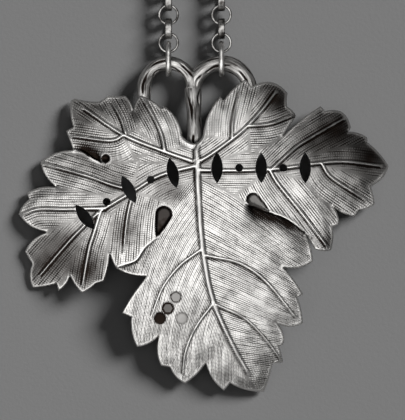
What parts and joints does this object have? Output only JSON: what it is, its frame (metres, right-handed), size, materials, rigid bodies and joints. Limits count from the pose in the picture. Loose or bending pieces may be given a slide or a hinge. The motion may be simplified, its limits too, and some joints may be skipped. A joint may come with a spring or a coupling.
{
  "type": "wine label",
  "caption": "Cast silver vine-leaf label with a pierced band, a looped vine-stem bail and a belcher neck chain that hangs it round a bottle or decanter.",
  "frame": {"origin": "on the table under the middle of the box round label and chain, label lying on its back", "axes": "+X to the right of the leaf seen from the front, +Y from the leaf's tip to the chain, +Z out of the leaf's front"},
  "size_m": [0.0742, 0.1162, 0.0096],
  "materials": {
    "leaf_silver": "chased sterling silver, burnished veins and rim, brown tarnish in the recesses",
    "stem_silver": "bark-grooved sterling silver, dark in the grooves",
    "chain_silver": "worn sterling silver wire, tarnished inside the links"
  },
  "bodies": {
    "label": {"leaf": "leaf_silver", "vine_stem": "stem_silver"},
    "ring_left": {"ring_left": "chain_silver"},
    "ring_right": {"ring_right": "chain_silver"},
    "link_left_01": {"link_left_01": "chain_silver"},
    "link_left_02": {"link_left_02": "chain_silver"},
    "link_left_03": {"link_left_03": "chain_silver"},
    "link_left_04": {"link_left_04": "chain_silver"},
    "link_left_05": {"link_left_05": "chain_silver"},
    "link_left_06": {"link_left_06": "chain_silver"},
    "link_left_07": {"link_left_07": "chain_silver"},
    "link_left_08": {"link_left_08": "chain_silver"},
    "link_left_09": {"link_left_09": "chain_silver"},
    "link_left_10": {"link_left_10": "chain_silver"},
    "link_left_11": {"link_left_11": "chain_silver"},
    "link_left_12": {"link_left_12": "chain_silver"},
    "link_left_13": {"link_left_13": "chain_silver"},
    "link_left_14": {"link_left_14": "chain_silver"},
    "link_left_15": {"link_left_15": "chain_silver"},
    "link_left_16": {"link_left_16": "chain_silver"},
    "link_left_17": {"link_left_17": "chain_silver"},
    "link_right_01": {"link_right_01": "chain_silver"},
    "link_right_02": {"link_right_02": "chain_silver"},
    "link_right_03": {"link_right_03": "chain_silver"},
    "link_right_04": {"link_right_04": "chain_silver"},
    "link_right_05": {"link_right_05": "chain_silver"},
    "link_right_06": {"link_right_06": "chain_silver"},
    "link_right_07": {"link_right_07": "chain_silver"},
    "link_right_08": {"link_right_08": "chain_silver"},
    "link_right_09": {"link_right_09": "chain_silver"},
    "link_right_10": {"link_right_10": "chain_silver"},
    "link_right_11": {"link_right_11": "chain_silver"},
    "link_right_12": {"link_right_12": "chain_silver"},
    "link_right_13": {"link_right_13": "chain_silver"},
    "link_right_14": {"link_right_14": "chain_silver"},
    "link_right_15": {"link_right_15": "chain_silver"},
    "link_right_16": {"link_right_16": "chain_silver"},
    "link_right_17": {"link_right_17": "chain_silver"},
    "link_top": {"link_top": "chain_silver"}
  },
  "joints": [
    {"name": "ring_left_swing", "type": "hinge", "parent": "label", "child": "ring_left", "pos_m": [-0.007, 0.00767, 0.00285], "axis": [1, 0, 0], "range_deg": [-90, 120]},
    {"name": "link_left_01_sway", "type": "hinge", "parent": "ring_left", "child": "link_left_01", "pos_m": [-0.007, 0.01167, 0.0021], "axis": [0, 0, 1], "range_deg": [-30, 30]},
    {"name": "link_left_02_sway", "type": "hinge", "parent": "link_left_01", "child": "link_left_02", "pos_m": [-0.007, 0.01277, 0.0021], "axis": [0, 0, 1], "range_deg": [-30, 30]},
    {"name": "link_left_03_fold", "type": "hinge", "parent": "link_left_02", "child": "link_left_03", "pos_m": [-0.007, 0.01557, 0.0021], "axis": [-1, 0, 0], "range_deg": [-30, 30]},
    {"name": "link_left_04_fold", "type": "hinge", "parent": "link_left_03", "child": "link_left_04", "pos_m": [-0.007, 0.01927, 0.0021], "axis": [1, 0, 0], "range_deg": [-30, 30]},
    {"name": "link_left_05_sway", "type": "hinge", "parent": "link_left_04", "child": "link_left_05", "pos_m": [-0.007, 0.02207, 0.0021], "axis": [0, 0, -1], "range_deg": [-30, 30]},
    {"name": "link_left_06_sway", "type": "hinge", "parent": "link_left_05", "child": "link_left_06", "pos_m": [-0.007, 0.02397, 0.0021], "axis": [0, 0, -1], "range_deg": [-30, 30]},
    {"name": "link_left_07_fold", "type": "hinge", "parent": "link_left_06", "child": "link_left_07", "pos_m": [-0.007, 0.02677, 0.0021], "axis": [-1, 0, 0], "range_deg": [-30, 30]},
    {"name": "link_left_08_fold", "type": "hinge", "parent": "link_left_07", "child": "link_left_08", "pos_m": [-0.007, 0.03047, 0.0021], "axis": [1, 0, 0], "range_deg": [-30, 30]},
    {"name": "link_left_09_sway", "type": "hinge", "parent": "link_left_08", "child": "link_left_09", "pos_m": [-0.007, 0.03327, 0.0021], "axis": [0, 0, 1], "range_deg": [-30, 30]},
    {"name": "link_left_10_sway", "type": "hinge", "parent": "link_left_09", "child": "link_left_10", "pos_m": [-0.007, 0.03517, 0.0021], "axis": [0, 0, 1], "range_deg": [-30, 30]},
    {"name": "link_left_11_fold", "type": "hinge", "parent": "link_left_10", "child": "link_left_11", "pos_m": [-0.007, 0.03797, 0.0021], "axis": [-1, 0, 0], "range_deg": [-30, 30]},
    {"name": "link_left_12_fold", "type": "hinge", "parent": "link_left_11", "child": "link_left_12", "pos_m": [-0.007, 0.04167, 0.0021], "axis": [1, 0, 0], "range_deg": [-30, 30]},
    {"name": "link_left_13_sway", "type": "hinge", "parent": "link_left_12", "child": "link_left_13", "pos_m": [-0.007, 0.04447, 0.0021], "axis": [0, 0, -1], "range_deg": [-30, 30]},
    {"name": "link_left_14_sway", "type": "hinge", "parent": "link_left_13", "child": "link_left_14", "pos_m": [-0.007, 0.04637, 0.0021], "axis": [0, 0, -1], "range_deg": [-30, 30]},
    {"name": "link_left_15_fold", "type": "hinge", "parent": "link_left_14", "child": "link_left_15", "pos_m": [-0.007, 0.04917, 0.0021], "axis": [-1, 0, 0], "range_deg": [-30, 30]},
    {"name": "link_left_16_fold", "type": "hinge", "parent": "link_left_15", "child": "link_left_16", "pos_m": [-0.00575, 0.05267, 0.0021], "axis": [1, 0, 0], "range_deg": [-18, 18]},
    {"name": "link_left_17_fold", "type": "hinge", "parent": "link_left_16", "child": "link_left_17", "pos_m": [-0.0045, 0.05438, 0.0021], "axis": [-1, 0, 0], "range_deg": [-18, 18]},
    {"name": "ring_right_swing", "type": "hinge", "parent": "label", "child": "ring_right", "pos_m": [0.0036, 0.00767, 0.00285], "axis": [1, 0, 0], "range_deg": [-90, 120]},
    {"name": "link_right_01_sway", "type": "hinge", "parent": "ring_right", "child": "link_right_01", "pos_m": [0.0036, 0.01167, 0.0021], "axis": [0, 0, 1], "range_deg": [-30, 30]},
    {"name": "link_right_02_sway", "type": "hinge", "parent": "link_right_01", "child": "link_right_02", "pos_m": [0.0036, 0.01277, 0.0021], "axis": [0, 0, 1], "range_deg": [-30, 30]},
    {"name": "link_right_03_fold", "type": "hinge", "parent": "link_right_02", "child": "link_right_03", "pos_m": [0.0036, 0.01557, 0.0021], "axis": [-1, 0, 0], "range_deg": [-30, 30]},
    {"name": "link_right_04_fold", "type": "hinge", "parent": "link_right_03", "child": "link_right_04", "pos_m": [0.0036, 0.01927, 0.0021], "axis": [1, 0, 0], "range_deg": [-30, 30]},
    {"name": "link_right_05_sway", "type": "hinge", "parent": "link_right_04", "child": "link_right_05", "pos_m": [0.0036, 0.02207, 0.0021], "axis": [0, 0, -1], "range_deg": [-30, 30]},
    {"name": "link_right_06_sway", "type": "hinge", "parent": "link_right_05", "child": "link_right_06", "pos_m": [0.0036, 0.02397, 0.0021], "axis": [0, 0, -1], "range_deg": [-30, 30]},
    {"name": "link_right_07_fold", "type": "hinge", "parent": "link_right_06", "child": "link_right_07", "pos_m": [0.0036, 0.02677, 0.0021], "axis": [-1, 0, 0], "range_deg": [-30, 30]},
    {"name": "link_right_08_fold", "type": "hinge", "parent": "link_right_07", "child": "link_right_08", "pos_m": [0.0036, 0.03047, 0.0021], "axis": [1, 0, 0], "range_deg": [-30, 30]},
    {"name": "link_right_09_sway", "type": "hinge", "parent": "link_right_08", "child": "link_right_09", "pos_m": [0.0036, 0.03327, 0.0021], "axis": [0, 0, 1], "range_deg": [-30, 30]},
    {"name": "link_right_10_sway", "type": "hinge", "parent": "link_right_09", "child": "link_right_10", "pos_m": [0.0036, 0.03517, 0.0021], "axis": [0, 0, 1], "range_deg": [-30, 30]},
    {"name": "link_right_11_fold", "type": "hinge", "parent": "link_right_10", "child": "link_right_11", "pos_m": [0.0036, 0.03797, 0.0021], "axis": [-1, 0, 0], "range_deg": [-30, 30]},
    {"name": "link_right_12_fold", "type": "hinge", "parent": "link_right_11", "child": "link_right_12", "pos_m": [0.0036, 0.04167, 0.0021], "axis": [1, 0, 0], "range_deg": [-30, 30]},
    {"name": "link_right_13_sway", "type": "hinge", "parent": "link_right_12", "child": "link_right_13", "pos_m": [0.0036, 0.04447, 0.0021], "axis": [0, 0, -1], "range_deg": [-30, 30]},
    {"name": "link_right_14_sway", "type": "hinge", "parent": "link_right_13", "child": "link_right_14", "pos_m": [0.0036, 0.04637, 0.0021], "axis": [0, 0, -1], "range_deg": [-30, 30]},
    {"name": "link_right_15_fold", "type": "hinge", "parent": "link_right_14", "child": "link_right_15", "pos_m": [0.0036, 0.04917, 0.0021], "axis": [-1, 0, 0], "range_deg": [-30, 30]},
    {"name": "link_right_16_fold", "type": "hinge", "parent": "link_right_15", "child": "link_right_16", "pos_m": [0.00235, 0.05267, 0.0021], "axis": [1, 0, 0], "range_deg": [-18, 18]},
    {"name": "link_right_17_fold", "type": "hinge", "parent": "link_right_16", "child": "link_right_17", "pos_m": [0.0011, 0.05438, 0.0021], "axis": [-1, 0, 0], "range_deg": [-18, 18]},
    {"name": "link_top_roll", "type": "hinge", "parent": "link_left_17", "child": "link_top", "pos_m": [-0.0017, 0.05603, 0.0021], "axis": [1, 0, 0], "range_deg": [-18, 18]}
  ],
  "couplings": [
    {"joint": "link_left_02_sway", "follows": "link_left_01_sway", "ratio": -1},
    {"joint": "link_left_06_sway", "follows": "link_left_05_sway", "ratio": -1},
    {"joint": "link_left_10_sway", "follows": "link_left_09_sway", "ratio": -1},
    {"joint": "link_left_14_sway", "follows": "link_left_13_sway", "ratio": -1},
    {"joint": "ring_right_swing", "follows": "ring_left_swing", "ratio": 1},
    {"joint": "link_right_01_sway", "follows": "link_left_01_sway", "ratio": 1},
    {"joint": "link_right_02_sway", "follows": "link_left_01_sway", "ratio": -1},
    {"joint": "link_right_03_fold", "follows": "link_left_03_fold", "ratio": 1},
    {"joint": "link_right_04_fold", "follows": "link_left_04_fold", "ratio": 1},
    {"joint": "link_right_05_sway", "follows": "link_left_05_sway", "ratio": 1},
    {"joint": "link_right_06_sway", "follows": "link_left_05_sway", "ratio": -1},
    {"joint": "link_right_07_fold", "follows": "link_left_07_fold", "ratio": 1},
    {"joint": "link_right_08_fold", "follows": "link_left_08_fold", "ratio": 1},
    {"joint": "link_right_09_sway", "follows": "link_left_09_sway", "ratio": 1},
    {"joint": "link_right_10_sway", "follows": "link_left_09_sway", "ratio": -1},
    {"joint": "link_right_11_fold", "follows": "link_left_11_fold", "ratio": 1},
    {"joint": "link_right_12_fold", "follows": "link_left_12_fold", "ratio": 1},
    {"joint": "link_right_13_sway", "follows": "link_left_13_sway", "ratio": 1},
    {"joint": "link_right_14_sway", "follows": "link_left_13_sway", "ratio": -1},
    {"joint": "link_right_15_fold", "follows": "link_left_15_fold", "ratio": 1},
    {"joint": "link_right_16_fold", "follows": "link_left_16_fold", "ratio": 1},
    {"joint": "link_right_17_fold", "follows": "link_left_17_fold", "ratio": 1}
  ]
}
